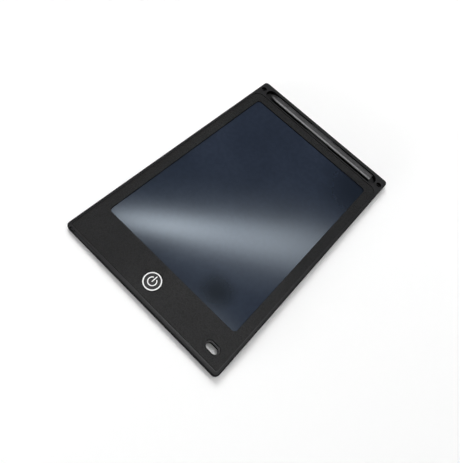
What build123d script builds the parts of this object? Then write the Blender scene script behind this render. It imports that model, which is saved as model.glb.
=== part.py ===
from build123d import *
import os
from math import sqrt

# Writing tablet with a liquid crystal film, an erase key, a lanyard hole and a stylus in a trough.
# Millimetres. X runs along the short side, Y towards the stylus edge, Z up out of the screen.
# The origin is under the middle of the body, on the surface that the tablet lies on.

# Body outline and rim
body_width = 146.0
body_length = 225.0
body_corner_radius = 3.5
shell_wall = 1.6
rim_slope_run = 2.0
rim_slope_drop = 0.3
rim_edge_radius = 1.0
stylus_edge_radius = 0.25
back_edge_radius = 0.6
seam_chamfer = 0.15
least_inner_radius = 0.4
lip_gap = 0.15
lip_wall = 0.8
lip_height = 1.0

# Layers in the chin, from the back up; together they give the body's thickness
back_plate = 1.0
board_stand = 0.5
board_thickness = 0.6
component_room = 1.2
shell_plate = 0.6
panel_thickness = 0.6

# Face panel, a thin inlay inside the rim
panel_side_inset = 2.4
panel_bottom_inset = 2.9
panel_top_radius = 7.0
panel_bottom_radius = 1.6
panel_groove = 0.5
panel_edge_round = 0.15

# Window in the face panel
window_side_margin = 8.15
window_top_margin = 8.1
chin_height = 26.7
window_radius = 3.0

# Films behind the window, each glued to the one in front of it
tape_thickness = 0.15
front_film_thickness = 0.25
back_film_thickness = 0.25
backing_thickness = 0.5
film_margin = 3.0
film_gap = 0.3
tape_step = 0.3
film_corner_radius = 1.0
rib_thickness = 0.8
rib_edge_gap = 3.0
ribs_across = 5
ribs_along = 7

# Stylus and its trough in the top strip
stylus_radius = 2.75
stylus_wall = 0.8
stylus_nose_length = 10.5
stylus_cap_length = 11.9
stylus_spigot_length = 4.0
stylus_spigot_gap = 0.04
stylus_end_round = 0.4
stylus_seam = 0.12
stylus_end_gap = 4.6
stylus_float = 0.1
finger_gap = 2.3
trough_end_inset = 9.2
trough_floor = 0.55
trough_edge_round = 0.4
top_rail = 3.8
trough_to_panel = 1.6
trough_wall = 1.2
cradle_length = 25.0
cradle_clearance = 0.15

# Screws in the two top corners, from the front into bosses on the back cover
corner_screw_inset = 4.7
corner_well_radius = 2.4
corner_well_depth = 1.6
corner_head_radius = 1.6
corner_head_height = 0.7
corner_shank_radius = 0.7
corner_boss_radius = 1.8
corner_boss_height = 0.6
corner_boss_gap = 0.12
pilot_floor = 0.3

# What all the screws share
screw_clearance = 0.15
pilot_gap = 0.05
screw_tip_room = 0.1
cross_length_share = 1.3
cross_width_share = 0.26
cross_depth_share = 0.5
head_round_share = 0.33
tip_chamfer_share = 0.5

# Erase key, with its white inlays
key_x = -1.8
key_from_bottom = 14.9
key_radius = 7.3
key_gap = 0.15
key_cap_thickness = 0.8
key_edge_round = 0.2
key_skirt_wall = 0.8
key_flange_width = 0.9
key_flange_thickness = 0.35
key_plunger_radius = 1.5
key_travel = 0.25
inlay_depth = 0.15
inlay_gap = 0.02
ring_radius = 6.2
ring_stroke = 0.85
symbol_radius = 3.1
symbol_stroke = 0.72
symbol_gap_angle = 66
bar_length = 5.2
bar_rise = 2.1

# Tact switch under the key
switch_size = 4.5
switch_stop_gap = 0.05
switch_stem_radius = 1.0
switch_stem_gap = 0.1
switch_stem_grip = 0.25

# Lanyard hole at the lower right, wider in the front shell than in the back cover
lanyard_from_side = 14.8
lanyard_from_bottom = 12.15
lanyard_length = 12.0
lanyard_width = 7.2
lanyard_ledge = 1.3
lanyard_ledge_top = 1.5
lanyard_ledge_bottom = 0.8
lanyard_collar = 1.2
lanyard_boss_height = 3.1
lanyard_boss_gap = 0.4

# Button cell, a CR2016
cell_diameter = 20.0
cell_can_height = 1.5
cell_cap_height = 0.1
cell_cap_inset = 1.3
cell_edge_round = 0.3

# Battery tray, drawn out of the bottom edge near the left corner
tray_left_inset = 4.0
tray_tab_width = 4.8
tray_tab_setback = 0.35
tray_face_thickness = 1.8
tray_face_drop = 0.6
tray_face_round = 0.8
tray_relief_radius = 0.6
tray_relief_depth = 1.6
tray_relief_from_end = 0.35
tray_relief_from_face = 0.65
tray_relief_setback = 1.3
tray_gap = 0.15
tray_floor_gap = 0.15
tray_cell_gap = 0.15
tray_side_wall = 1.05
tray_front_wall = 0.9
tray_ledge = 0.25
tray_ledge_width = 1.0
tray_wall_drop = 0.15
tray_guide_wall = 0.8

# Screw that holds the tray, through the tab at its left end
tray_screw_head_radius = 0.9
tray_screw_head_height = 0.65
tray_screw_well_gap = 0.1
tray_screw_well_depth = 0.8
tray_screw_shank_radius = 0.55
tray_screw_length = 5.1
tray_boss_depth = 4.9
tray_boss_gap = 0.15
tray_boss_room = 0.05

# Contacts of the cell
contact_thickness = 0.1
contact_width = 2.5
contact_gap = 0.05
contact_reach_share = 0.8
contact_channel_gap = 0.6
contact_foot = 0.8
contact_touch_gap = 0.02

# Circuit board and how it is staked
board_inset = 5.0
board_film_gap = 1.8
board_side_gap = 0.3
stake_to_lock = 0.5
stake_inset_x = 3.0
stake_inset_y = 3.0
stake_stand_radius = 1.6
stake_pin_radius = 0.6
stake_head_radius = 1.0
stake_head_height = 0.25
stake_hole_gap = 0.1

# Parts on the board, between its left end, the key and the lock switch
part_gap = 1.0
part_pitch = 5.0
chip_share = 0.62
resistor_share = 0.36
capacitor_share = 0.9
chip_length = 4.9
chip_width = 3.9
chip_headroom = 0.2
chip_stand = 0.1
chip_legs_per_side = 4
chip_leg_pitch = 1.27
chip_leg_width = 0.4
chip_leg_reach = 1.0
chip_leg_thickness = 0.15
capacitor_length = 2.0
capacitor_width = 1.25
capacitor_headroom = 0.4
resistor_length = 1.6
resistor_width = 0.8
resistor_height = 0.45
parts_in_column = 3
inductor_size = 4.0
inductor_headroom = 0.2
inductor_round = 0.6
inductor_drop = 3.4

# Film tail and its connector
tail_width = 8.0
tail_thickness = 0.15
tail_bond = 3.0
tail_side_gap = 0.5
tail_slope_run = 2.0
connector_width = 10.0
connector_depth = 2.6
connector_headroom = 0.2
connector_inset = 1.2
connector_slot_gap = 0.05
connector_slot_share = 0.75
connector_wall = 0.45

# Screen lock: a thumb slider in the back cover and a slide switch on the board
key_to_lock = 28.6
lock_travel = 2.0
lock_knob_length = 5.0
lock_knob_width = 3.0
lock_knob_recess = 0.15
lock_gap = 0.2
lock_well_margin = 1.5
lock_well_depth = 0.35
lock_flange_cover = 1.8
lock_flange_lip = 1.0
lock_flange_thickness = 0.25
lock_flange_gap = 0.05
lock_rail_width = 0.8
lock_rail_height = 0.3
lock_groove_width = 0.4
lock_groove_depth = 0.2
lock_grooves = 4
lock_lever_length = 0.8
lock_lever_width = 1.2
lock_lever_gap = 0.05
lock_lever_sink = 0.3
lock_lever_hold = 0.5
lock_body_length = 8.5
lock_body_width = 3.4
lock_body_height = 0.9

# One overrun for every cut that must break through, and a hair for finding edges at a height
overrun = 2.0
hair = 0.01

# Heights worked out from the layers
body_thickness = back_plate + board_stand + board_thickness + component_room + shell_plate + panel_thickness
panel_seat = body_thickness - panel_thickness
plate_underside = panel_seat - shell_plate
board_underside = back_plate + board_stand
board_topside = board_underside + board_thickness
tape_underside = panel_seat - tape_thickness
front_film_underside = tape_underside - front_film_thickness
back_film_underside = front_film_underside - back_film_thickness
backing_underside = back_film_underside - backing_thickness

# Places worked out from the outline
half_width = body_width / 2
half_length = body_length / 2
trough_width = 2 * (stylus_radius + finger_gap)
trough_length = body_width - 2 * trough_end_inset
trough_y = half_length - top_rail - trough_width / 2
stylus_length = trough_length - 2 * stylus_end_gap
stylus_z = back_plate + trough_floor + stylus_float + stylus_radius
nose_base_x = -stylus_length / 2 + stylus_nose_length
cap_base_x = stylus_length / 2 - stylus_cap_length
stylus_bore = stylus_radius - stylus_wall
spigot_radius = stylus_bore - stylus_spigot_gap
panel_top_y = trough_y - trough_width / 2 - trough_to_panel
panel_bottom_y = -half_length + panel_bottom_inset
panel_half_width = half_width - panel_side_inset
window_half_width = panel_half_width - window_side_margin
window_top_y = panel_top_y - window_top_margin
window_bottom_y = panel_bottom_y + chin_height
film_half_width = window_half_width + film_margin
film_top_y = window_top_y + film_margin
film_bottom_y = window_bottom_y - film_margin
cavity_top_y = trough_y - trough_width / 2 - trough_wall
corner_screw_x = half_width - corner_screw_inset
corner_seat_z = body_thickness - corner_well_depth - corner_head_height
key_y = -half_length + key_from_bottom
key_flange_radius = key_radius + key_flange_width
key_skirt_bottom = plate_underside - key_flange_thickness
switch_top = key_skirt_bottom - key_travel - switch_stop_gap
lanyard_x = half_width - lanyard_from_side
lanyard_y = -half_length + lanyard_from_bottom

# Places of the tray, the board and the lock
tray_face_left = -half_width + tray_left_inset
tray_left = tray_face_left + tray_tab_width
cell_room_radius = cell_diameter / 2 + tray_cell_gap
tray_half_width = cell_room_radius + tray_side_wall
tray_x = tray_left + tray_half_width
tray_right = tray_x + tray_half_width
tray_face_back = -half_length + tray_face_thickness
cell_y = tray_face_back + tray_front_wall + cell_room_radius
tray_back = cell_y + tray_half_width
tray_bottom = back_plate + tray_floor_gap
cell_bottom = tray_bottom + tray_ledge
cell_top = cell_bottom + cell_can_height
tray_screw_x = tray_face_left + tray_tab_width / 2
tray_screw_z = (back_plate + plate_underside) / 2
tray_tab_front = -half_length + tray_tab_setback
tray_screw_seat = tray_tab_front + tray_screw_well_depth
board_left = tray_right + tray_gap + tray_guide_wall + board_side_gap
lock_x = key_x + key_to_lock
lock_slot_length = lock_knob_length + lock_travel + 2 * lock_gap
lock_slot_width = lock_knob_width + 2 * lock_gap
lock_flange_length = lock_slot_length + lock_travel + 2 * lock_flange_cover
lock_flange_width = lock_slot_width + 2 * lock_flange_lip
lock_reach = (lock_flange_length + lock_travel) / 2
left_stakes_x = board_left + stake_inset_x
right_stakes_x = lock_x + lock_reach + stake_to_lock + stake_stand_radius
board_right = right_stakes_x + stake_inset_x
board_bottom_y = -half_length + board_inset
board_top_y = film_bottom_y - board_film_gap
parts_right = key_x - key_flange_radius - part_gap
parts_left = key_x + key_flange_radius + part_gap
connector_x = (parts_left + lock_x - lock_body_length / 2) / 2
connector_y = board_top_y - connector_inset - connector_depth / 2
tail_end_y = connector_y + connector_depth / 2 - connector_slot_share * connector_depth
connector_slot_z = board_topside + connector_wall
lock_rest_x = lock_x - lock_travel / 2
lock_flange_bottom = back_plate + lock_flange_gap
lock_flange_top = lock_flange_bottom + lock_flange_thickness


# Shared shapes

def span(middle, length):
    """Range of a length about its middle."""
    return (middle - length / 2, middle + length / 2)


def block(x_range, y_range, z_range):
    """Box that fills three ranges."""
    ranges = (x_range, y_range, z_range)
    sizes = [high - low for low, high in ranges]
    middles = [(high + low) / 2 for low, high in ranges]
    return Pos(*middles) * Box(*sizes)


def prism(outline, low_z, high_z):
    """Flat outline raised between two heights."""
    return extrude(Pos(0, 0, low_z) * outline, amount=high_z - low_z)


def edges_at(shape, height):
    """Edges that lie flat at one height."""
    def lies_flat(edge):
        box = edge.bounding_box()
        return box.min.Z > height - hair and box.max.Z < height + hair
    return shape.edges().filter_by(lies_flat)


def inner_radius(radius, inset):
    """Radius of a rounded corner once its outline is drawn in."""
    return max(radius - inset, least_inner_radius)


def body_outline(inset):
    """Rounded outline of the body, drawn in by an inset."""
    radius = inner_radius(body_corner_radius, inset)
    return RectangleRounded(body_width - 2 * inset, body_length - 2 * inset, radius)


def inside_outline(inset):
    """The body's outline drawn in, up to the top strip."""
    below_strip = Pos(0, cavity_top_y - half_length) * Rectangle(body_width, body_length)
    return body_outline(inset) & below_strip


def panel_outline(inset):
    """Outline of the face panel: wide curves at the top, tight ones at the bottom."""
    low_y = panel_bottom_y + inset
    high_y = panel_top_y - inset
    outline = Pos(0, (low_y + high_y) / 2) * Rectangle(2 * (panel_half_width - inset), high_y - low_y)
    corners = outline.vertices().group_by(Axis.Y)
    outline = fillet(corners[-1], inner_radius(panel_top_radius, inset))
    corners = outline.vertices().group_by(Axis.Y)
    return fillet(corners[0], inner_radius(panel_bottom_radius, inset))


def window_outline(spread, radius):
    """Outline of the window, spread outwards."""
    height = window_top_y - window_bottom_y
    middle = Pos(0, (window_top_y + window_bottom_y) / 2)
    return middle * RectangleRounded(2 * (window_half_width + spread), height + 2 * spread, radius)


def film_outline(spread):
    """Outline of the film stack, spread outwards."""
    return window_outline(film_margin + spread, film_corner_radius)


def lanyard_outline(inset):
    """Outline of the lanyard hole, drawn in by an inset."""
    return Pos(lanyard_x, lanyard_y) * SlotOverall(lanyard_length - 2 * inset, lanyard_width - 2 * inset)


def lanyard_way():
    """Outline of the way through the back cover's boss, lower than the middle of the lanyard hole."""
    length = lanyard_length - 2 * lanyard_ledge
    width = lanyard_width - lanyard_ledge_top - lanyard_ledge_bottom
    way_y = lanyard_y + (lanyard_ledge_bottom - lanyard_ledge_top) / 2
    return Pos(lanyard_x, way_y) * SlotOverall(length, width)


def cross_screw(head_radius, head_height, shank_radius, shank_length):
    """Screw with its seat at the origin, its head up and its shank down."""
    arm_length = cross_length_share * head_radius
    arm_width = cross_width_share * head_radius
    arm_depth = cross_depth_share * head_height
    head = prism(Circle(head_radius), 0, head_height)
    head = fillet(edges_at(head, head_height), head_round_share * head_height)
    arms = Rectangle(arm_length, arm_width) + Rectangle(arm_width, arm_length)
    shank = prism(Circle(shank_radius), -shank_length, 0)
    shank = chamfer(edges_at(shank, -shank_length), tip_chamfer_share * shank_radius)
    return head - prism(arms, head_height - arm_depth, head_height + overrun) + shank


# Front shell: walls, rim, top strip with the trough, and the plate under the face panel

def open_outline(inset):
    """Body outline drawn in at the sides and the bottom, and run past the stylus edge."""
    low_y = -half_length + inset
    high_y = half_length + overrun
    outline = Pos(0, (low_y + high_y) / 2) * Rectangle(2 * (half_width - inset), high_y - low_y)
    corners = outline.vertices().group_by(Axis.Y)[0]
    return fillet(corners, inner_radius(body_corner_radius, inset))


def outer_block():
    """Closed block above the seam, its rim sloping down at the sides and the bottom, flat at the stylus."""
    wall_top = body_thickness - rim_slope_drop
    rim_foot = Pos(0, 0, wall_top) * open_outline(0)
    rim_head = Pos(0, 0, body_thickness) * open_outline(rim_slope_run)
    sloped = prism(open_outline(0), back_plate, wall_top) + loft([rim_foot, rim_head], ruled=True)
    sloped = fillet(edges_at(sloped, wall_top), rim_edge_radius)
    flat = prism(body_outline(0), back_plate, body_thickness)
    flat = fillet(edges_at(flat, body_thickness), stylus_edge_radius)
    outer = sloped & flat
    return chamfer(edges_at(outer, back_plate), seam_chamfer)


def trough_cut():
    """Space of the stylus trough, with a rounded mouth."""
    outline = Pos(0, trough_y) * SlotOverall(trough_length, trough_width)
    space = prism(outline, back_plate + trough_floor, body_thickness + overrun)
    mouth_low = Pos(0, 0, body_thickness - trough_edge_round) * outline
    wide = SlotOverall(trough_length + 2 * trough_edge_round, trough_width + 2 * trough_edge_round)
    mouth_high = Pos(0, trough_y, body_thickness) * wide
    return space + loft([mouth_low, mouth_high], ruled=True)


def cradle_outline():
    """Side view of the stylus cradle: a block with a notch whose flanks clear the stylus."""
    low = back_plate + trough_floor
    half = trough_width / 2
    flank = (stylus_radius + cradle_clearance) * sqrt(2)
    mouth = flank + body_thickness - stylus_z
    foot = flank + low - stylus_z
    return [(-half, low), (-half, body_thickness), (-mouth, body_thickness), (-foot, low)]


def cradle():
    """Two lips in the middle of the trough that hold the stylus from both sides."""
    lips = []
    for side in (1, -1):
        corners = [(trough_y + side * y, z) for y, z in cradle_outline()]
        profile = Plane.YZ * Polygon(*corners, align=None)
        lips.append(extrude(profile, amount=cradle_length / 2, both=True))
    return lips


def corner_well(side):
    """Stepped hole for a corner screw, with a pocket below for the back cover's boss."""
    place = Pos(side * corner_screw_x, trough_y)
    pocket_top = back_plate + corner_boss_height + corner_boss_gap
    well = prism(place * Circle(corner_well_radius), corner_seat_z, body_thickness + overrun)
    clear = prism(place * Circle(corner_shank_radius + screw_clearance), back_plate, corner_seat_z)
    pocket = prism(place * Circle(corner_boss_radius + corner_boss_gap), back_plate - overrun, pocket_top)
    return well + clear + pocket


def tray_notch():
    """Break in the wall and rim for the tray's face."""
    x_range = (tray_face_left - tray_gap, tray_right + tray_gap)
    y_range = (-half_length - overrun, tray_face_back + tray_gap)
    return block(x_range, y_range, (back_plate - overrun, body_thickness + overrun))


def front_shell():
    """Front shell with everything cut out of it."""
    shell = outer_block()
    shell -= prism(inside_outline(shell_wall), back_plate - overrun, plate_underside)
    shell -= prism(panel_outline(0), panel_seat, body_thickness + overrun)
    shell -= prism(film_outline(film_gap), plate_underside - overrun, panel_seat + overrun)
    shell -= trough_cut()
    for lip in cradle():
        shell += lip
    shell -= corner_well(1)
    shell -= corner_well(-1)
    key_hole = Pos(key_x, key_y) * Circle(key_radius + key_gap)
    shell -= prism(key_hole, plate_underside - overrun, panel_seat + overrun)
    shell += prism(lanyard_outline(-lanyard_collar), back_plate, panel_seat)
    shell -= prism(lanyard_outline(0), back_plate - overrun, panel_seat + overrun)
    return shell - tray_notch()


# Face panel

def face_panel():
    """Thin inlay with the window, the key hole and the lanyard hole, its upper edges rounded."""
    outline = panel_outline(panel_groove) - window_outline(0, window_radius)
    outline -= Pos(key_x, key_y) * Circle(key_radius + key_gap)
    outline -= lanyard_outline(0)
    panel = prism(outline, panel_seat, body_thickness)
    return fillet(edges_at(panel, body_thickness), panel_edge_round)


# Back cover

def rib_lattice():
    """Crossed ribs that carry the backing sheet."""
    z_range = (back_plate - hair, backing_underside)
    left = -film_half_width + rib_edge_gap
    right = film_half_width - rib_edge_gap
    low = film_bottom_y + rib_edge_gap
    high = film_top_y - rib_edge_gap
    lattice = []
    for index in range(ribs_across):
        x = left + (right - left) * index / (ribs_across - 1)
        lattice.append(block(span(x, rib_thickness), (low, high), z_range))
    for index in range(ribs_along):
        y = low + (high - low) * index / (ribs_along - 1)
        lattice.append(block((left, right), span(y, rib_thickness), z_range))
    return lattice


def locating_lip():
    """Lip that fits inside the front shell's wall, broken where the tray passes."""
    outer = shell_wall + lip_gap
    inner = outer + lip_wall
    outline = inside_outline(outer) - inside_outline(inner)
    ring = prism(outline, back_plate - hair, back_plate + lip_height)
    strip_gap = block((-half_width, half_width), (cavity_top_y - inner, half_length), (0, body_thickness))
    x_range = (-half_width, tray_right + tray_gap + tray_guide_wall)
    y_range = (-half_length, tray_face_back + tray_front_wall)
    return ring - strip_gap - block(x_range, y_range, (0, body_thickness))


def tray_guides():
    """Walls on both sides of the tray, and the boss that takes its screw."""
    top = cell_top - tray_wall_drop
    y_range = (tray_face_back + tray_boss_gap, tray_back)
    z_range = (back_plate - hair, top)
    left_face = tray_left - tray_gap
    right_face = tray_right + tray_gap
    guides = block((left_face - tray_guide_wall, left_face), y_range, z_range)
    guides += block((right_face, right_face + tray_guide_wall), y_range, z_range)
    boss_y = (tray_face_back + tray_boss_gap, tray_face_back + tray_boss_gap + tray_boss_depth)
    boss_z = (back_plate - hair, plate_underside - tray_boss_room)
    guides += block((tray_face_left + tray_gap, left_face), boss_y, boss_z)
    pilot = Cylinder(tray_screw_shank_radius + pilot_gap, 2 * tray_screw_length)
    guides -= Pos(tray_screw_x, tray_screw_seat, tray_screw_z) * Rot(90, 0, 0) * pilot
    leaf_y = span(cell_y, contact_width + 2 * contact_channel_gap)
    leaf_z = (back_plate, back_plate + contact_thickness + contact_gap)
    return guides - block((right_face - hair, right_face + tray_guide_wall + hair), leaf_y, leaf_z)


def stake_places():
    """Centres of the four stakes that hold the board."""
    places = []
    for x in (left_stakes_x, right_stakes_x):
        for y in (board_bottom_y + stake_inset_y, board_top_y - stake_inset_y):
            places.append((x, y))
    return places


def board_stake():
    """Stand, pin and melted head of one stake."""
    stand = prism(Circle(stake_stand_radius), back_plate - hair, board_underside)
    pin = prism(Circle(stake_pin_radius), back_plate, board_topside + stake_head_height)
    head = prism(Circle(stake_head_radius), board_topside, board_topside + stake_head_height)
    return stand + pin + head


def lock_opening():
    """Shallow finger well and through slot for the lock slider."""
    place = Pos(lock_x, key_y)
    slot = SlotOverall(lock_slot_length, lock_slot_width)
    well = SlotOverall(lock_slot_length + 2 * lock_well_margin, lock_slot_width + 2 * lock_well_margin)
    slot_space = prism(place * slot, -overrun, back_plate + overrun)
    return slot_space + prism(place * well, -overrun, lock_well_depth)


def lock_rails():
    """Two rails that guide the slider's flange."""
    reach = lock_flange_length / 2
    inner = lock_flange_width / 2 + lock_gap
    outer = inner + lock_rail_width
    z_range = (back_plate - hair, back_plate + lock_rail_height)
    rails = []
    for side in (1, -1):
        y_range = sorted((key_y + side * inner, key_y + side * outer))
        rails.append(block((lock_x - reach, lock_x + reach), y_range, z_range))
    return rails


def back_cover():
    """Flat back with its rounded edge, and what stands on its inside."""
    cover = prism(body_outline(0), 0, back_plate)
    cover = fillet(edges_at(cover, 0), back_edge_radius)
    cover = chamfer(edges_at(cover, back_plate), seam_chamfer)
    for rib in rib_lattice():
        cover += rib
    cover += locating_lip()
    cover += tray_guides()
    for x, y in stake_places():
        cover += Pos(x, y, 0) * board_stake()
    for side in (1, -1):
        place = Pos(side * corner_screw_x, trough_y)
        boss_top = back_plate + corner_boss_height
        cover += prism(place * Circle(corner_boss_radius), back_plate - hair, boss_top)
        cover -= prism(place * Circle(corner_shank_radius + pilot_gap), pilot_floor, boss_top + overrun)
    cover -= lock_opening()
    for rail in lock_rails():
        cover += rail
    lanyard_boss_top = back_plate + lanyard_boss_height
    cover += prism(lanyard_outline(lanyard_boss_gap), back_plate - hair, lanyard_boss_top)
    return cover - prism(lanyard_way(), -overrun, lanyard_boss_top + overrun)


def corner_screws():
    """Two screws, one in each top corner."""
    length = corner_seat_z - pilot_floor - screw_tip_room
    screw = cross_screw(corner_head_radius, corner_head_height, corner_shank_radius, length)
    screws = [Pos(side * corner_screw_x, trough_y, corner_seat_z) * screw for side in (1, -1)]
    return Compound(children=screws)


# Films

def film_adhesive():
    """Tape ring round the window, under the face panel."""
    ring = film_outline(-tape_step) - window_outline(tape_step, window_radius)
    return prism(ring, tape_underside, panel_seat)


def lcd_front_film():
    """Film that the stylus writes on."""
    return prism(film_outline(0), front_film_underside, tape_underside)


def lcd_back_film():
    """Second film of the sandwich."""
    return prism(film_outline(0), back_film_underside, front_film_underside)


def backing_sheet():
    """Stiff sheet behind the films, notched for the tail."""
    sheet = prism(film_outline(0), backing_underside, back_film_underside)
    x_range = span(connector_x, tail_width + 2 * tail_side_gap)
    y_range = (film_bottom_y - overrun, film_bottom_y + tail_bond + tail_side_gap)
    return sheet - block(x_range, y_range, (backing_underside - overrun, back_film_underside + overrun))


def film_tail():
    """Flexible tail, bonded under the back film and bent down into the connector."""
    high = back_film_underside
    low = connector_slot_z + connector_slot_gap + tail_thickness
    bend = film_bottom_y
    upper = [(bend + tail_bond, high), (bend, high), (bend - tail_slope_run, low), (tail_end_y, low)]
    lower = [(y, z - tail_thickness) for y, z in reversed(upper)]
    profile = Plane.YZ * Polygon(*upper, *lower, align=None)
    return Pos(connector_x, 0, 0) * extrude(profile, amount=tail_width / 2, both=True)


def film_connector():
    """Clamp on the board that the tail slides into."""
    x_range = span(connector_x, connector_width)
    y_range = span(connector_y, connector_depth)
    body = block(x_range, y_range, (board_topside, plate_underside - connector_headroom))
    slot_x = span(connector_x, tail_width + tail_side_gap)
    slot_y = (tail_end_y - connector_slot_gap, y_range[1] + overrun)
    slot_top = connector_slot_z + tail_thickness + 2 * connector_slot_gap
    return body - block(slot_x, slot_y, (connector_slot_z, slot_top))


# Circuit board and the parts on it

def circuit_board():
    """Board with its stake holes and the slot for the lock lever."""
    middle = Pos((board_left + board_right) / 2, (board_bottom_y + board_top_y) / 2)
    outline = middle * Rectangle(board_right - board_left, board_top_y - board_bottom_y)
    for x, y in stake_places():
        outline -= Pos(x, y) * Circle(stake_pin_radius + stake_hole_gap)
    slot_length = lock_lever_length + lock_travel + 2 * lock_gap
    outline -= Pos(lock_x, key_y) * Rectangle(slot_length, lock_lever_width + 2 * lock_gap)
    return prism(outline, board_underside, board_topside)


def share_x(share):
    """Place between the board's left end and the key."""
    return board_left + share * (parts_right - board_left)


def driver_chip():
    """Chip body with bent legs on two sides."""
    x = share_x(chip_share)
    top = plate_underside - chip_headroom
    base = board_topside + chip_stand
    half = chip_width / 2
    chip = block((x - half, x + half), span(key_y, chip_length), (base, top))
    for index in range(chip_legs_per_side):
        y = key_y + (index - (chip_legs_per_side - 1) / 2) * chip_leg_pitch
        y_range = span(y, chip_leg_width)
        foot_z = (board_topside, board_topside + chip_leg_thickness)
        chip += block((x - half - chip_leg_reach, x + half + chip_leg_reach), y_range, foot_z)
        shoulder = half + 2 * chip_leg_thickness
        chip += block((x - shoulder, x + shoulder), y_range, (board_topside, (base + top) / 2))
    return chip


def part_column(x, length, width, height):
    """Equal small parts in a column beside each other on the board."""
    parts = []
    for index in range(parts_in_column):
        y = key_y + (index - (parts_in_column - 1) / 2) * part_pitch
        z_range = (board_topside, board_topside + height)
        parts.append(block(span(x, width), span(y, length), z_range))
    return Compound(children=parts)


def chip_capacitors():
    """Storage capacitors of the erase pulse."""
    height = component_room - capacitor_headroom
    return part_column(share_x(capacitor_share), capacitor_length, capacitor_width, height)


def chip_resistors():
    """Timing resistors."""
    return part_column(share_x(resistor_share), resistor_length, resistor_width, resistor_height)


def boost_inductor():
    """Square shielded inductor."""
    place = Pos(connector_x, key_y - inductor_drop)
    outline = place * RectangleRounded(inductor_size, inductor_size, inductor_round)
    return prism(outline, board_topside, plate_underside - inductor_headroom)


# Erase key and its switch

def ring_outline(spread):
    """Outer white ring on the key."""
    half = ring_stroke / 2 + spread
    return Circle(ring_radius + half) - Circle(ring_radius - half)


def symbol_outlines(spread):
    """Power symbol: a ring that is open at the top, and an upright bar in the opening."""
    stroke = symbol_stroke + 2 * spread
    start = 90 + symbol_gap_angle / 2
    broken_ring = SlotArc(CenterArc((0, 0), symbol_radius, start, 360 - symbol_gap_angle), stroke)
    bar = Pos(0, bar_rise) * Rot(0, 0, 90) * SlotOverall(bar_length + 2 * spread, stroke)
    return [broken_ring, bar]


def erase_button():
    """Key cap with its skirt, flange and plunger, recessed for the white inlays."""
    inside = body_thickness - key_cap_thickness
    cap = prism(Circle(key_radius), key_skirt_bottom, body_thickness)
    cap = fillet(edges_at(cap, body_thickness), key_edge_round)
    cap += prism(Circle(key_flange_radius), key_skirt_bottom, plate_underside)
    cap -= prism(Circle(key_radius - key_skirt_wall), key_skirt_bottom - overrun, inside)
    cap += prism(Circle(key_plunger_radius), key_skirt_bottom, inside + hair)
    floor = body_thickness - inlay_depth
    cap -= prism(ring_outline(inlay_gap), floor, body_thickness + overrun)
    for outline in symbol_outlines(inlay_gap):
        cap -= prism(outline, floor, body_thickness + overrun)
    return Pos(key_x, key_y, 0) * cap


def erase_ring():
    """White ring, flush with the key's face."""
    ring = prism(ring_outline(0), body_thickness - inlay_depth, body_thickness)
    return Pos(key_x, key_y, 0) * ring


def erase_symbol():
    """White symbol, flush with the key's face."""
    floor = body_thickness - inlay_depth
    shapes = [prism(outline, floor, body_thickness) for outline in symbol_outlines(0)]
    return Pos(key_x, key_y, 0) * Compound(children=shapes)


def erase_switch_base():
    """Square base of the tact switch, open in the middle for its stem."""
    outline = Rectangle(switch_size, switch_size) - Circle(switch_stem_radius + switch_stem_gap)
    base = prism(outline, board_topside, switch_top)
    return Pos(key_x, key_y, 0) * base


def erase_switch_stem():
    """Round stem between the switch base and the key's plunger."""
    stem = prism(Circle(switch_stem_radius), switch_top - switch_stem_grip, key_skirt_bottom)
    return Pos(key_x, key_y, 0) * stem


# Screen lock

def lock_slider():
    """Thumb slider with grooves below, a flange above the back cover and a pocket for the lever."""
    place = Pos(lock_rest_x, key_y)
    flange = place * Rectangle(lock_flange_length, lock_flange_width)
    knob = place * SlotOverall(lock_knob_length, lock_knob_width)
    slider = prism(flange, lock_flange_bottom, lock_flange_top)
    slider += prism(knob, lock_knob_recess, lock_flange_top)
    pitch = lock_knob_length / (lock_grooves + 1)
    for index in range(lock_grooves):
        x = lock_rest_x + (index - (lock_grooves - 1) / 2) * pitch
        x_range = span(x, lock_groove_width)
        y_range = (key_y - lock_knob_width, key_y + lock_knob_width)
        slider -= block(x_range, y_range, (0, lock_knob_recess + lock_groove_depth))
    pocket_length = lock_lever_length + 2 * lock_lever_gap
    pocket = place * Rectangle(pocket_length, lock_lever_width + 2 * lock_lever_gap)
    pocket_floor = lock_flange_top - lock_lever_sink - lock_lever_gap
    return slider - prism(pocket, pocket_floor, lock_flange_top + overrun)


def lock_switch_lever():
    """Lever from inside the switch, through the board, into the slider."""
    outline = Pos(lock_rest_x, key_y) * Rectangle(lock_lever_length, lock_lever_width)
    return prism(outline, lock_flange_top - lock_lever_sink, board_topside + lock_lever_hold)


def lock_switch_body():
    """Slide switch body on the board, open below for the lever's travel."""
    place = Pos(lock_x, key_y)
    outline = place * Rectangle(lock_body_length, lock_body_width)
    body = prism(outline, board_topside, board_topside + lock_body_height)
    track_length = lock_lever_length + lock_travel + 2 * lock_gap
    track = place * Rectangle(track_length, lock_lever_width + 2 * lock_gap)
    return body - prism(track, board_topside - overrun, board_topside + lock_lever_hold + lock_lever_gap)


# Battery tray, cell and contacts

def round_front(shape, height):
    """Shape with its upper front edge rounded."""
    front = edges_at(shape, height).filter_by(Axis.X).sort_by(Axis.Y)[0]
    return fillet(front, tray_face_round)


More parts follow.
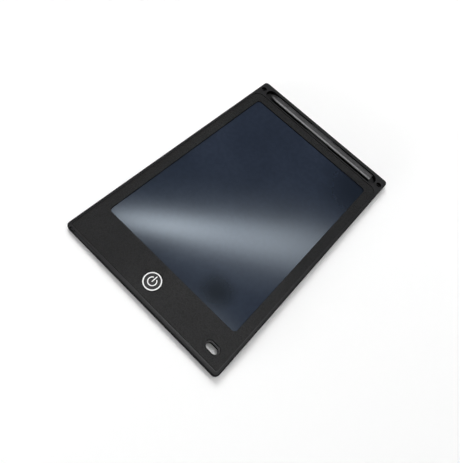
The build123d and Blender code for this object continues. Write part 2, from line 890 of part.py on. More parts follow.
def tray_face():
    """Face of the tray in the body's edge, with the set-back tab, its screw hole and two reliefs."""
    top = body_thickness - tray_face_drop
    z_range = (tray_bottom, top)
    bar = block((tray_left, tray_right), (-half_length, tray_face_back), z_range)
    tab = block((tray_face_left, tray_left + hair), (tray_tab_front, tray_face_back), z_range)
    face = round_front(bar, top) + round_front(tab, top)
    hole = Cylinder(tray_screw_shank_radius + screw_clearance, 2 * tray_face_thickness)
    well = Cylinder(tray_screw_head_radius + tray_screw_well_gap, 2 * tray_screw_well_depth)
    face -= Pos(tray_screw_x, tray_face_back, tray_screw_z) * Rot(90, 0, 0) * hole
    face -= Pos(tray_screw_x, tray_tab_front, tray_screw_z) * Rot(90, 0, 0) * well
    for x in (tray_face_left + tray_relief_from_end, tray_left - tray_relief_from_face):
        relief = Pos(x, -half_length + tray_relief_setback) * Circle(tray_relief_radius)
        face -= prism(relief, top - tray_relief_depth, top + overrun)
    return face


def battery_tray():
    """Drawer: a frame round the cell on a narrow ledge, channelled below for the contact."""
    wall_top = cell_top - tray_wall_drop
    frame = block((tray_left, tray_right), (tray_face_back - hair, tray_back), (tray_bottom, wall_top))
    place = Pos(tray_x, cell_y)
    frame -= prism(place * Circle(cell_room_radius), cell_bottom, wall_top + overrun)
    ledge_radius = cell_diameter / 2 - tray_ledge_width
    frame -= prism(place * Circle(ledge_radius), tray_bottom - overrun, cell_bottom + overrun)
    channel_x = span(tray_x, contact_width + 2 * contact_channel_gap)
    frame -= block(channel_x, (cell_y, tray_back + overrun), (tray_bottom - overrun, cell_bottom))
    return frame + tray_face()


def coin_cell():
    """Cell with its can up and its smaller cap down, inside the tray's ledge."""
    can = prism(Circle(cell_diameter / 2), cell_bottom, cell_top)
    can = fillet(edges_at(can, cell_top), cell_edge_round)
    cap_radius = cell_diameter / 2 - cell_cap_inset
    cap = prism(Circle(cap_radius), cell_bottom - cell_cap_height, cell_bottom + hair)
    return Pos(tray_x, cell_y, 0) * (can + cap)


def tray_screw():
    """Small screw through the tray's tab into the back cover's boss."""
    length = tray_screw_length - screw_tip_room
    screw = cross_screw(tray_screw_head_radius, tray_screw_head_height, tray_screw_shank_radius, length)
    return Pos(tray_screw_x, tray_screw_seat, tray_screw_z) * Rot(90, 0, 0) * screw


def positive_contact():
    """Strip above the cell, bent down onto the board."""
    low = cell_top + contact_gap
    high = low + contact_thickness
    y_range = span(cell_y, contact_width)
    foot_x = board_left + board_side_gap
    tip_x = tray_x - contact_reach_share * cell_room_radius
    end_x = foot_x + contact_foot
    strip = block((tip_x, end_x), y_range, (low, high))
    return strip + block((end_x - contact_thickness, end_x), y_range, (board_topside, high))


def negative_contact():
    """Leaf on the back cover that passes under the tray's wall and up to the board."""
    low = back_plate
    high = back_plate + contact_thickness
    y_range = span(cell_y, contact_width)
    foot_x = board_left + board_side_gap
    bump_x = span(tray_x, contact_width)
    touch_top = cell_bottom - cell_cap_height - contact_touch_gap
    leaf = block((bump_x[0], foot_x + contact_foot), y_range, (low, high))
    leaf += block(bump_x, y_range, (low, touch_top))
    return leaf + block((foot_x, foot_x + contact_foot), y_range, (low, board_underside))


# Stylus

def rod(low_x, high_x, radius):
    """Round rod on the stylus axis."""
    place = Pos((low_x + high_x) / 2, trough_y, stylus_z)
    return place * Rot(0, 90, 0) * Cylinder(radius, high_x - low_x)


def end_edges(shape, x):
    """Round edges that close a rod at one place along it."""
    def lies_at(edge):
        box = edge.bounding_box()
        return box.min.X > x - hair and box.max.X < x + hair
    return shape.edges().filter_by(lies_at)


def stylus_barrel():
    """Tube between the nose and the cap."""
    tube = rod(nose_base_x, cap_base_x, stylus_radius)
    for x in (nose_base_x, cap_base_x):
        tube = chamfer(end_edges(tube, x), stylus_seam)
    return tube - rod(nose_base_x - overrun, cap_base_x + overrun, stylus_bore)


def stylus_nose():
    """Blunt writing end, half of a long ellipsoid, with a spigot in the barrel."""
    corner = Pos(-stylus_nose_length / 2, stylus_radius / 2) * Rectangle(stylus_nose_length, stylus_radius)
    quarter = Ellipse(stylus_nose_length, stylus_radius) & corner
    nose = Pos(nose_base_x, trough_y, stylus_z) * revolve(quarter, Axis.X)
    nose = chamfer(end_edges(nose, nose_base_x), stylus_seam)
    return nose + rod(nose_base_x - hair, nose_base_x + stylus_spigot_length, spigot_radius)


def stylus_cap():
    """Blunt end piece with a spigot in the barrel."""
    end_x = stylus_length / 2
    cap = rod(cap_base_x, end_x, stylus_radius)
    cap = chamfer(end_edges(cap, cap_base_x), stylus_seam)
    cap = fillet(end_edges(cap, end_x), stylus_end_round)
    return cap + rod(cap_base_x - stylus_spigot_length, cap_base_x + hair, spigot_radius)


pieces = [
    front_shell, face_panel, back_cover, corner_screws,
    film_adhesive, lcd_front_film, lcd_back_film, backing_sheet, film_tail, film_connector,
    circuit_board, driver_chip, chip_capacitors, chip_resistors, boost_inductor,
    erase_button, erase_ring, erase_symbol, erase_switch_base, erase_switch_stem,
    lock_slider, lock_switch_lever, lock_switch_body,
    battery_tray, coin_cell, tray_screw, positive_contact, negative_contact,
    stylus_barrel, stylus_nose, stylus_cap,
]

os.makedirs("parts", exist_ok=True)
for piece in pieces:
    export_step(piece(), os.path.join("parts", piece.__name__ + ".step"))
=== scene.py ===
import math
import bpy
from mathutils import Matrix, Vector


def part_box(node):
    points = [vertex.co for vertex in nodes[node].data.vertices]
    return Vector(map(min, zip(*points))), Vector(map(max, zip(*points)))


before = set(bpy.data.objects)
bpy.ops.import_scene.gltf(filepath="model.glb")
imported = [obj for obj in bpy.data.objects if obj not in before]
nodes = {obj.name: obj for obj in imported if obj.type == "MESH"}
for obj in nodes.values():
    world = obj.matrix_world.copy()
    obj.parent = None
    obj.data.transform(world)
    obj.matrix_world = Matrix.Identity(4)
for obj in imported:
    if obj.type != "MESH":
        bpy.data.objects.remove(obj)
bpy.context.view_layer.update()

# Writing tablet on a white table: metres, X across, Y towards the stylus, Z up

# Camera

cameraPlace = {
    "eye": (0.0545, -0.1591, 0.2633),
    "forward": (-0.1547, 0.4419, -0.8836),
    "down": (0.6741, -0.6066, -0.4214),
    "focalPixels": 389.3,
    "imageLongSide": 463,
    "sensor": 36.0,  # millimetres on the long side
    "nearest": 0.01,
    "farthest": 20.0,
}


def makeCamera():
    data = bpy.data.cameras.new("camera")
    data.sensor_width = cameraPlace["sensor"]
    data.sensor_fit = "AUTO"
    data.lens = cameraPlace["focalPixels"] / cameraPlace["imageLongSide"] * cameraPlace["sensor"]
    data.clip_start = cameraPlace["nearest"]
    data.clip_end = cameraPlace["farthest"]
    back = -Vector(cameraPlace["forward"]).normalized()
    up = -Vector(cameraPlace["down"])
    right = up.cross(back).normalized()
    up = back.cross(right)
    turn = Matrix((right, up, back)).transposed().to_4x4()
    camera = bpy.data.objects.new("camera", data)
    camera.matrix_world = Matrix.Translation(cameraPlace["eye"]) @ turn
    bpy.context.scene.collection.objects.link(camera)
    bpy.context.scene.camera = camera


makeCamera()
print("camera in place")


# Node tools

# where a Mix node keeps its first, second and result sockets, for numbers and for colours
mixSlots = {"FLOAT": (2, 3, 0), "RGBA": (6, 7, 2)}


class Nodes:
    # a thin hand on one node tree: add a node, set its inputs, wire it
    def __init__(self, tree):
        self.tree = tree

    def add(self, kind, **settings):
        node = self.tree.nodes.new(kind)
        for name, value in settings.items():
            setattr(node, name, value)
        return node

    def wire(self, source, target):
        self.tree.links.new(source, target)

    def put(self, socket, value):
        if isinstance(value, bpy.types.NodeSocket):
            self.wire(value, socket)
        else:
            socket.default_value = value

    def maths(self, operation, first, second=None, third=None, clamp=False):
        node = self.add("ShaderNodeMath", operation=operation, use_clamp=clamp)
        for socket, value in zip(node.inputs, (first, second, third)):
            if value is not None:
                self.put(socket, value)
        return node.outputs[0]

    def times(self, first, second):
        return self.maths("MULTIPLY", first, second)

    def halfSine(self, value):
        # rises from 0 at 0 to 1 in the middle and falls back to 0 at 1
        return self.maths("SINE", self.times(value, math.pi))

    def noise(self, vector, scale, grit):
        # grit is the detail, roughness and distortion of the noise
        detail, roughness, distortion = grit
        node = self.add("ShaderNodeTexNoise")
        self.wire(vector, node.inputs["Vector"])
        self.put(node.inputs["Scale"], scale)
        self.put(node.inputs["Detail"], detail)
        self.put(node.inputs["Roughness"], roughness)
        self.put(node.inputs["Distortion"], distortion)
        return node.outputs["Fac"]

    def remap(self, value, low=0.0, high=1.0, newLow=0.0, newHigh=1.0):
        node = self.add("ShaderNodeMapRange")
        self.put(node.inputs["Value"], value)
        self.put(node.inputs["From Min"], low)
        self.put(node.inputs["From Max"], high)
        self.put(node.inputs["To Min"], newLow)
        self.put(node.inputs["To Max"], newHigh)
        return node.outputs["Result"]

    def mix(self, factor, first, second, kind="FLOAT"):
        node = self.add("ShaderNodeMix", data_type=kind)
        firstSlot, secondSlot, resultSlot = mixSlots[kind]
        self.put(node.inputs[0], factor)
        self.put(node.inputs[firstSlot], first)
        self.put(node.inputs[secondSlot], second)
        return node.outputs[resultSlot]

    def mixColour(self, factor, first, second):
        return self.mix(factor, first, second, "RGBA")


def makeGroup(name, inputs, outputs, build):
    # inputs are (name, socket type, usual value) rows, outputs (name, socket type) rows
    tree = bpy.data.node_groups.new(name, "ShaderNodeTree")
    for label, kind, value in inputs:
        socket = tree.interface.new_socket(name=label, in_out="INPUT", socket_type=kind)
        if value is not None:
            socket.default_value = value
    for label, kind in outputs:
        tree.interface.new_socket(name=label, in_out="OUTPUT", socket_type=kind)
    hand = Nodes(tree)
    source = hand.add("NodeGroupInput")
    sink = hand.add("NodeGroupOutput")
    build(hand, source.outputs, sink.inputs)
    return tree


def useGroup(hand, tree, vector, **values):
    node = hand.add("ShaderNodeGroup", node_tree=tree)
    if vector is not None:
        hand.wire(vector, node.inputs["Vector"])
    for name, value in values.items():
        node.inputs[name].default_value = value
    return node.outputs


# Moulded grain: cells broken up by fine noise, as a height and a mask of its pits

grainShape = {
    "usualScale": 1500.0,
    "fineness": 2.3,  # how many times finer the noise is than the cells
    "grit": (3.0, 0.6, 0.0),
    "noiseShare": 0.6,
    "cellShare": 0.55,
    "pits": (0.35, 0.75),  # heights at which a pit starts and is full
}


def buildGrain(hand, given, out):
    cells = hand.add("ShaderNodeTexVoronoi", feature="F1", distance="EUCLIDEAN")
    hand.wire(given["Vector"], cells.inputs["Vector"])
    hand.wire(given["Scale"], cells.inputs["Scale"])
    fineScale = hand.times(given["Scale"], grainShape["fineness"])
    fine = hand.noise(given["Vector"], fineScale, grainShape["grit"])
    cellHeight = hand.times(cells.outputs["Distance"], grainShape["cellShare"])
    height = hand.maths("MULTIPLY_ADD", fine, grainShape["noiseShare"], cellHeight)
    hand.wire(height, out["Height"])
    hand.wire(hand.remap(height, *grainShape["pits"]), out["Pits"])


grainGroup = makeGroup(
    "mouldedGrain",
    [("Vector", "NodeSocketVector", None), ("Scale", "NodeSocketFloat", grainShape["usualScale"])],
    [("Height", "NodeSocketFloat"), ("Pits", "NodeSocketFloat")],
    buildGrain,
)


# Rubbed edges: where a bevelled normal leaves the true one, broken up by noise

wearShape = {
    "usualRadius": 0.0004,
    "samples": 4,
    "leaving": (0.995, 0.93),  # product of the two normals at which an edge starts and is full
    "patchScale": 300.0,
    "patchGrit": (4.0, 0.6, 0.0),
    "patches": (0.35, 0.65),
    "patchShare": 0.7,
    "steadyShare": 0.3,
}


def buildWear(hand, given, out):
    bevel = hand.add("ShaderNodeBevel", samples=wearShape["samples"])
    hand.wire(given["Radius"], bevel.inputs["Radius"])
    geometry = hand.add("ShaderNodeNewGeometry")
    product = hand.add("ShaderNodeVectorMath", operation="DOT_PRODUCT")
    hand.wire(bevel.outputs["Normal"], product.inputs[0])
    hand.wire(geometry.outputs["Normal"], product.inputs[1])
    edge = hand.remap(product.outputs["Value"], *wearShape["leaving"])
    patchy = hand.noise(given["Vector"], given["Patch Scale"], wearShape["patchGrit"])
    patchy = hand.remap(patchy, *wearShape["patches"])
    patchy = hand.maths("MULTIPLY_ADD", patchy, wearShape["patchShare"], wearShape["steadyShare"])
    hand.wire(hand.times(edge, patchy), out["Edge"])


wearGroup = makeGroup(
    "edgeWear",
    [("Vector", "NodeSocketVector", None), ("Radius", "NodeSocketFloat", wearShape["usualRadius"]),
     ("Patch Scale", "NodeSocketFloat", wearShape["patchScale"])],
    [("Edge", "NodeSocketFloat")],
    buildWear,
)


# Wall mask: 1 on upright walls, 0 on faces that lie flat, by the height of the surface normal; it places
# the painted shade on upright walls

wallShape = {"flat": 0.97, "steep": 0.85}


def buildWalls(hand, given, out):
    normal = hand.add("ShaderNodeSeparateXYZ")
    hand.wire(hand.add("ShaderNodeNewGeometry").outputs["Normal"], normal.inputs[0])
    upright = hand.maths("ABSOLUTE", normal.outputs["Z"])
    hand.wire(hand.remap(upright, given["Flat"], given["Steep"]), out["Wall"])


wallGroup = makeGroup(
    "wallMask",
    [("Flat", "NodeSocketFloat", wallShape["flat"]), ("Steep", "NodeSocketFloat", wallShape["steep"])],
    [("Wall", "NodeSocketFloat")],
    buildWalls,
)


# Slow uneven tone, as on handled plastic and on a film that was wiped

cloudShape = {"usualScale": 40.0, "grit": (3.0, 0.55, 0.4), "range": (0.3, 0.7)}


def buildClouds(hand, given, out):
    broad = hand.noise(given["Vector"], given["Scale"], cloudShape["grit"])
    hand.wire(hand.remap(broad, *cloudShape["range"]), out["Tone"])


cloudGroup = makeGroup(
    "slowTone",
    [("Vector", "NodeSocketVector", None), ("Scale", "NodeSocketFloat", cloudShape["usualScale"])],
    [("Tone", "NodeSocketFloat")],
    buildClouds,
)
print("shared node groups built")


# What every finish starts from

def newMaterial(name):
    material = bpy.data.materials.new(name)
    material.use_nodes = True
    hand = Nodes(material.node_tree)
    shader = next(node for node in material.node_tree.nodes if node.type == "BSDF_PRINCIPLED")
    place = hand.add("ShaderNodeTexCoord").outputs["Object"]
    return material, hand, shader, place


def rgba(colour):
    return (*colour, 1.0)


def bumpInto(hand, shader, height, depth):
    bump = hand.add("ShaderNodeBump")
    bump.inputs["Strength"].default_value = 1.0
    bump.inputs["Distance"].default_value = depth
    hand.wire(height, bump.inputs["Height"])
    hand.wire(bump.outputs["Normal"], shader.inputs["Normal"])


# Moulded plastics: one recipe, values for each part

def mouldedPlastic(name, look):
    material, hand, shader, place = newMaterial(name)
    grain = useGroup(hand, grainGroup, place, Scale=look["grainScale"])
    wear = useGroup(hand, wearGroup, place, Radius=look["edgeRadius"])
    tone = useGroup(hand, cloudGroup, place, Scale=look["toneScale"])
    wall = useGroup(hand, wallGroup, None)["Wall"]
    base = hand.mixColour(tone["Tone"], rgba(look["dark"]), rgba(look["light"]))
    base = hand.mixColour(hand.times(grain["Pits"], look["pitShare"]), base, rgba(look["pit"]))
    base = hand.mixColour(hand.times(wear["Edge"], look["wearShare"]), base, rgba(look["worn"]))
    # painted shade: upright walls take a darker colour
    base = hand.mixColour(hand.times(wall, look["wallShare"]), base, rgba(look["wall"]))
    hand.wire(base, shader.inputs["Base Color"])
    rough = hand.remap(grain["Pits"], newLow=look["roughLow"], newHigh=look["roughHigh"])
    rough = hand.maths("SUBTRACT", rough, hand.times(wear["Edge"], look["wearGloss"]))
    rough = hand.mix(wall, rough, look["wallRough"])
    # painted shade on upright walls: they take a darker colour and keep no sheen of their own, so that
    # they stay dark beside the white table
    hand.wire(hand.times(wall, look["wallDull"]), shader.inputs["Metallic"])
    hand.wire(rough, shader.inputs["Roughness"])
    shader.inputs["Specular IOR Level"].default_value = look["specular"]
    shader.inputs["Specular Tint"].default_value = rgba((look["sheen"],) * 3)
    bumpInto(hand, shader, grain["Height"], look["grainDepth"])
    return material


shellLook = {
    "dark": (0.009, 0.009, 0.010),
    "light": (0.014, 0.014, 0.015),
    "pit": (0.006, 0.006, 0.007),
    "worn": (0.05, 0.05, 0.052),
    # painted shade colour for upright walls
    "wall": (0.002, 0.002, 0.0022),
    "pitShare": 0.5,
    "wearShare": 0.5,
    "wallShare": 0.9,
    "toneScale": 45.0,
    "grainScale": 2400.0,
    "grainDepth": 0.00002,
    "edgeRadius": 0.0004,
    "roughLow": 0.34,
    "roughHigh": 0.44,
    "wearGloss": 0.08,  # how much smoother a rubbed edge is
    "wallRough": 0.85,
    "wallDull": 0.9,
    "specular": 1.0,
    "sheen": 0.32,
}
panelLook = dict(
    shellLook,
    dark=(0.003, 0.003, 0.004),
    light=(0.016, 0.016, 0.0165),
    pit=(0.002, 0.002, 0.002),
    pitShare=0.8,
    toneScale=9.0,
    grainScale=1100.0,
    grainDepth=0.0003,
    edgeRadius=0.0003,
    roughLow=0.36,
    roughHigh=0.60,
    sheen=0.27,
)
keyLook = dict(
    shellLook,
    light=(0.012, 0.012, 0.013),
    grainScale=4000.0,
    grainDepth=0.000006,
    edgeRadius=0.0003,
    roughLow=0.36,
    roughHigh=0.46,
)
trayLook = dict(
    shellLook,
    dark=(0.008, 0.008, 0.009),
    light=(0.012, 0.012, 0.013),
    roughLow=0.5,
    roughHigh=0.65,
)
stylusLook = dict(
    shellLook,
    dark=(0.004, 0.004, 0.005),
    light=(0.006, 0.006, 0.007),
    wearShare=0.3,
    wallShare=0.0,
    grainScale=5000.0,
    grainDepth=0.000004,
    roughLow=0.39,
    roughHigh=0.43,
    wallRough=0.54,
    wallDull=0.0,
    sheen=0.78,
)
printLook = dict(
    shellLook,
    dark=(0.90, 0.90, 0.90),
    light=(0.94, 0.94, 0.94),
    pit=(0.84, 0.84, 0.84),
    worn=(0.95, 0.95, 0.95),
    wallShare=0.0,
    grainScale=5000.0,
    grainDepth=0.000003,
    roughLow=0.4,
    roughHigh=0.5,
    wallRough=0.45,
    wallDull=0.0,
    specular=0.35,
    sheen=1.0,
)
chipLook = dict(
    shellLook,
    dark=(0.015, 0.015, 0.015),
    light=(0.022, 0.022, 0.022),
    grainScale=6000.0,
    specular=0.4,
    sheen=1.0,
)
creamLook = dict(
    printLook,
    dark=(0.62, 0.56, 0.44),
    light=(0.70, 0.64, 0.52),
    pit=(0.5, 0.45, 0.36),
    worn=(0.8, 0.76, 0.66),
)
tanLook = dict(
    printLook,
    dark=(0.36, 0.25, 0.15),
    light=(0.44, 0.31, 0.19),
    pit=(0.28, 0.2, 0.12),
    worn=(0.5, 0.4, 0.3),
)
ferriteLook = dict(
    chipLook,
    dark=(0.05, 0.05, 0.05),
    light=(0.08, 0.08, 0.08),
    roughLow=0.6,
    roughHigh=0.8,
)
backingLook = dict(chipLook, dark=(0.02, 0.02, 0.024), light=(0.03, 0.03, 0.034))


# Writing film: a dark bluish liquid crystal layer under a satin front face

filmLook = {
    "deep": (0.012, 0.018, 0.032),
    "pale": (0.020, 0.028, 0.048),
    "mottle": (0.007, 0.011, 0.020),
    "cloudScale": 14.0,
    "mottleScale": 260.0,
    "mottleGrit": (2.0, 0.5, 0.0),
    "mottleRange": (0.4, 0.6),
    "mottleShare": 0.2,
    "roughLow": 0.12,
    "roughHigh": 0.145,
    "specular": 0.6,
    "sheen": (0.79, 0.90, 1.0),
    "ripple": 0.000004,
    "rippleScale": 30.0,
    "rippleGrit": (1.0, 0.4, 0.0),
    # darker spots on the film: place, radius, share of the tone that is taken away
    "spots": [((0.034, -0.070), 0.020, 0.9), ((0.058, 0.080), 0.046, 0.6)],
    "spot": (0.0, 0.002, 0.006),
}


def spotMask(hand, place, spot, height):
    # full share in the middle of a spot, easing to nothing at its radius
    (x, y), radius, share = spot
    away = hand.add("ShaderNodeVectorMath", operation="DISTANCE")
    hand.wire(place, away.inputs[0])
    away.inputs[1].default_value = (x, y, height)
    mask = hand.add("ShaderNodeMapRange", interpolation_type="SMOOTHERSTEP")
    hand.wire(away.outputs["Value"], mask.inputs["Value"])
    mask.inputs["From Max"].default_value = radius
    mask.inputs["To Min"].default_value = share
    mask.inputs["To Max"].default_value = 0.0
    return mask.outputs["Result"]


def writingFilm():
    material, hand, shader, place = newMaterial("writingFilm")
    tone = useGroup(hand, cloudGroup, place, Scale=filmLook["cloudScale"])["Tone"]
    base = hand.mixColour(tone, rgba(filmLook["deep"]), rgba(filmLook["pale"]))
    mottle = hand.noise(place, filmLook["mottleScale"], filmLook["mottleGrit"])
    mottle = hand.remap(mottle, *filmLook["mottleRange"])
    base = hand.mixColour(hand.times(mottle, filmLook["mottleShare"]), base, rgba(filmLook["mottle"]))
    topCorner = Vector(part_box("lcd_front_film")[1])
    for spot in filmLook["spots"]:
        base = hand.mixColour(spotMask(hand, place, spot, topCorner.z), base, rgba(filmLook["spot"]))
    hand.wire(base, shader.inputs["Base Color"])
    rough = hand.remap(tone, newLow=filmLook["roughLow"], newHigh=filmLook["roughHigh"])
    hand.wire(rough, shader.inputs["Roughness"])
    shader.inputs["Specular Tint"].default_value = rgba(filmLook["sheen"])
    shader.inputs["Specular IOR Level"].default_value = filmLook["specular"]
    ripple = hand.noise(place, filmLook["rippleScale"], filmLook["rippleGrit"])
    bumpInto(hand, shader, ripple, filmLook["ripple"])
    return material


# Metals

steelLook = {
    "dark": (0.42, 0.42, 0.43),
    "light": (0.60, 0.60, 0.61),
    "stretch": (1.0, 12.0, 1.0),  # squeezes the noise into streaks along X
    "grainScale": 900.0,
    "grit": (4.0, 0.6, 0.0),
    "range": (0.3, 0.7),
    "depth": 0.000004,
    "roughLow": 0.22,
    "roughHigh": 0.38,
}
blackSteelLook = dict(
    steelLook,
    dark=(0.004, 0.004, 0.004),
    light=(0.01, 0.01, 0.011),
    roughLow=0.4,
    roughHigh=0.55,
)


def brushedMetal(name, look):
    material, hand, shader, place = newMaterial(name)
    streaks = hand.add("ShaderNodeMapping")
    streaks.inputs["Scale"].default_value = look["stretch"]
    hand.wire(place, streaks.inputs["Vector"])
    brush = hand.noise(streaks.outputs["Vector"], look["grainScale"], look["grit"])
    hand.wire(hand.mixColour(brush, rgba(look["dark"]), rgba(look["light"])), shader.inputs["Base Color"])
    rough = hand.remap(brush, *look["range"], look["roughLow"], look["roughHigh"])
    hand.wire(rough, shader.inputs["Roughness"])
    shader.inputs["Metallic"].default_value = 1.0
    bumpInto(hand, shader, brush, look["depth"])
    return material


# Circuit board and its tail

boardLook = {
    "mask": (0.012, 0.09, 0.03),
    "copper": (0.03, 0.16, 0.06),
    "traceScale": 420.0,
    "traceEdge": (0.06, 0.10),
    "roughness": 0.35,
    "depth": 0.00002,
}
tailLook = {
    "amber": (0.42, 0.17, 0.03),
    "dark": (0.25, 0.09, 0.015),
    "stripeScale": 90.0,
    "roughness": 0.3,
}


def circuitBoard():
    material, hand, shader, place = newMaterial("boardGreen")
    tracks = hand.add("ShaderNodeTexVoronoi", feature="DISTANCE_TO_EDGE", distance="MANHATTAN")
    hand.wire(place, tracks.inputs["Vector"])
    tracks.inputs["Scale"].default_value = boardLook["traceScale"]
    gap = hand.remap(tracks.outputs["Distance"], *boardLook["traceEdge"])
    base = hand.mixColour(gap, rgba(boardLook["copper"]), rgba(boardLook["mask"]))
    hand.wire(base, shader.inputs["Base Color"])
    shader.inputs["Roughness"].default_value = boardLook["roughness"]
    bumpInto(hand, shader, hand.maths("SUBTRACT", 1.0, gap), boardLook["depth"])
    return material


def amberTail():
    material, hand, shader, place = newMaterial("tailAmber")
    stripes = hand.add("ShaderNodeTexWave", bands_direction="X")
    hand.wire(place, stripes.inputs["Vector"])
    stripes.inputs["Scale"].default_value = tailLook["stripeScale"]
    base = hand.mixColour(stripes.outputs["Fac"], rgba(tailLook["amber"]), rgba(tailLook["dark"]))
    hand.wire(base, shader.inputs["Base Color"])
    shader.inputs["Roughness"].default_value = tailLook["roughness"]
    return material


# Which finish goes on which pieces

def dress():
    finishes = [
        (mouldedPlastic("shellBlack", shellLook), ["front_shell", "back_cover", "lock_slider"]),
        (mouldedPlastic("panelBlack", panelLook), ["face_panel"]),
        (mouldedPlastic("keyBlack", keyLook), ["erase_button"]),
        (mouldedPlastic("trayBlack", trayLook), ["battery_tray"]),
        (mouldedPlastic("stylusBlack", stylusLook), ["stylus_barrel", "stylus_nose", "stylus_cap"]),
        (mouldedPlastic("whiteInlay", printLook), ["erase_ring", "erase_symbol"]),
        (writingFilm(), ["lcd_front_film", "lcd_back_film"]),
        (mouldedPlastic("chipBlack", chipLook),
         ["driver_chip", "erase_switch_stem", "lock_switch_lever", "chip_resistors", "film_adhesive"]),
        (mouldedPlastic("backingSheet", backingLook), ["backing_sheet"]),
        (mouldedPlastic("connectorCream", creamLook), ["film_connector"]),
        (mouldedPlastic("chipTan", tanLook), ["chip_capacitors"]),
        (mouldedPlastic("ferrite", ferriteLook), ["boost_inductor"]),
        (circuitBoard(), ["circuit_board"]),
        (amberTail(), ["film_tail"]),
        (brushedMetal("brushedSteel", steelLook),
         ["coin_cell", "positive_contact", "negative_contact", "erase_switch_base", "lock_switch_body"]),
        (brushedMetal("blackenedSteel", blackSteelLook), ["corner_screws", "tray_screw"]),
    ]
    dressed = 0
    for material, names in finishes:
        for name in names:
            slots = nodes[name].data.materials
            slots.clear()
            slots.append(material)
            dressed += 1
    print("dressed", dressed, "of", len(nodes), "pieces")


dress()


# Table and surroundings

white = (1.0, 1.0, 1.0)
tableLook = {
    "size": 6.0,
    "colour": (0.96, 0.96, 0.96),
    "roughness": 0.6,
    "specular": 0.0,
    "lift": 0.055,  # added to what the camera and mirrors see of it, so that it reads as white
}
worldLook = {"horizon": 0.17, "ceiling": 0.12, "bendLow": 0.15, "bendHigh": 0.60}


def makeTable():
    half = tableLook["size"] / 2
    mesh = bpy.data.meshes.new("table")
    corners = [(-half, -half, 0), (half, -half, 0), (half, half, 0), (-half, half, 0)]
    mesh.from_pydata(corners, [], [(0, 1, 2, 3)])
    table = bpy.data.objects.new("table", mesh)
    bpy.context.scene.collection.objects.link(table)
    material, hand, shader, _ = newMaterial("whiteTable")
    shader.inputs["Base Color"].default_value = rgba(tableLook["colour"])
    shader.inputs["Roughness"].default_value = tableLook["roughness"]
    shader.inputs["Specular IOR Level"].default_value = tableLook["specular"]
    rays = hand.add("ShaderNodeLightPath").outputs
    seen = hand.maths("MAXIMUM", rays["Is Camera Ray"], rays["Is Glossy Ray"])
    seen = hand.maths("MAXIMUM", seen, rays["Is Transmission Ray"])
    shader.inputs["Emission Color"].default_value = rgba(white)
    hand.wire(hand.times(seen, tableLook["lift"]), shader.inputs["Emission Strength"])
    mesh.materials.append(material)


def makeWorld():
    # a grey room, a little darker overhead
    world = bpy.data.worlds.new("room")
    world.use_nodes = True
    bpy.context.scene.world = world
    hand = Nodes(world.node_tree)
    background = next(node for node in world.node_tree.nodes if node.type == "BACKGROUND")
    split = hand.add("ShaderNodeSeparateXYZ")
    hand.wire(hand.add("ShaderNodeTexCoord").outputs["Generated"], split.inputs[0])
    level = hand.remap(split.outputs["Z"], worldLook["bendLow"], worldLook["bendHigh"],
                       worldLook["horizon"], worldLook["ceiling"])
    background.inputs["Color"].default_value = rgba(white)
    hand.wire(level, background.inputs["Strength"])


makeTable()
makeWorld()
print("table and room in place")


# Lamps: softboxes whose glow falls to nothing at their rims

plainBox = {
    "aim": (0.0, 0.0, 0.0),
    "turn": 0.0,  # degrees about its own beam
    "arch": 1.0,  # its long profile: 1 is a half sine, less is flatter
    "fall": 0.0,  # how much brighter its first end is
    "fallPower": 3.0,
    "wide": (1.0, 1.0),  # width of the glow at the first and the last end, as shares of the short side
    "halo": 0.0,  # faint glow over the whole width
    "haloPower": 2.0,
    "haloGrowth": 2.0,  # power by which the halo grows towards the last end
    "mirrored": True,  # shows in glossy faces
    "lit": True,  # lights matt faces
}
lampLook = {
    # place, what it faces, long and short side, radiance with white as 1
    "keyBox": dict(
        plainBox, place=(-1.85, 1.45, 1.75), size=(1.95, 1.95), radiance=14.6, mirrored=False,
    ),
    "backStrip": dict(
        plainBox, place=(-0.2362, 0.7039, 1.50), aim=(-0.2362, 0.7039, 0.0), turn=37.7,
        size=(1.265, 0.75), radiance=4.6, arch=0.48, fall=5.4, wide=(0.09, 0.51), halo=0.68,
    ),
    "frontStrip": dict(
        plainBox, place=(-0.22, -1.30, 0.09), aim=(0.0, 0.1, 0.0), size=(1.2, 0.18), radiance=118.0,
    ),
    "rightBox": dict(
        plainBox, place=(0.75, 0.77, 1.28), aim=(0.1, 0.0, 0.0), size=(0.9, 0.9), radiance=3.5,
        mirrored=False,
    ),
    "topBox": dict(
        plainBox, place=(0.06, 0.04, 1.50), aim=(0.06, 0.04, 0.0), size=(0.7, 0.7), radiance=3.5,
    ),
    "sheenBox": dict(
        plainBox, place=(0.10, -0.05, 1.50), aim=(0.10, -0.05, 0.0), size=(0.5, 0.5), radiance=42.0,
        lit=False,
    ),
}


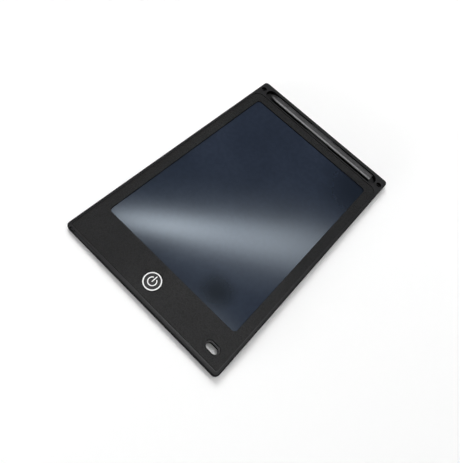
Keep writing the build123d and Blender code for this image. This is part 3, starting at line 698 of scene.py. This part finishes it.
def lampGlow(hand, look):
    # two half sines, along and across the box, plus a halo that is a squared half sine across it
    place = hand.add("ShaderNodeSeparateXYZ")
    hand.wire(hand.add("ShaderNodeNewGeometry").outputs["Parametric"], place.inputs[0])
    along, across = place.outputs["X"], place.outputs["Y"]
    middle = 0.5
    wide = hand.maths("MINIMUM", hand.remap(along, 0.0, 1.0, *look["wide"]), 1.0)
    narrowed = hand.maths("DIVIDE", hand.maths("SUBTRACT", across, middle), wide)
    narrowed = hand.maths("ADD", narrowed, middle, clamp=True)
    lengthwise = hand.halfSine(along)
    glow = hand.times(hand.halfSine(narrowed), hand.maths("POWER", lengthwise, look["arch"]))
    firstEnd = hand.maths("POWER", hand.maths("SUBTRACT", 1.0, along), look["fallPower"])
    glow = hand.times(glow, hand.maths("MULTIPLY_ADD", firstEnd, look["fall"], 1.0))
    halo = hand.maths("POWER", hand.halfSine(across), look["haloPower"])
    growth = hand.times(hand.maths("POWER", along, look["haloGrowth"]), look["halo"])
    halo = hand.times(halo, hand.times(growth, lengthwise))
    return hand.maths("ADD", glow, halo)


def makeLamp(name, look):
    data = bpy.data.lights.new(name, "AREA")
    data.shape = "RECTANGLE"
    data.size, data.size_y = look["size"]
    data.energy = look["radiance"] * math.pi * data.size * data.size_y
    data.use_nodes = True
    hand = Nodes(data.node_tree)
    emission = next(node for node in data.node_tree.nodes if node.type == "EMISSION")
    hand.wire(lampGlow(hand, look), emission.inputs["Strength"])
    lamp = bpy.data.objects.new(name, data)
    lamp.visible_glossy = look["mirrored"]
    lamp.visible_diffuse = look["lit"]
    toward = Vector(look["aim"]) - Vector(look["place"])
    face = toward.to_track_quat("-Z", "Y").to_matrix().to_4x4()
    spin = Matrix.Rotation(math.radians(look["turn"]), 4, "Z")
    lamp.matrix_world = Matrix.Translation(look["place"]) @ face @ spin
    bpy.context.scene.collection.objects.link(lamp)


for name, look in lampLook.items():
    makeLamp(name, look)
print("lamps in place:", len(lampLook))

bpy.context.scene.view_settings.view_transform = "Standard"
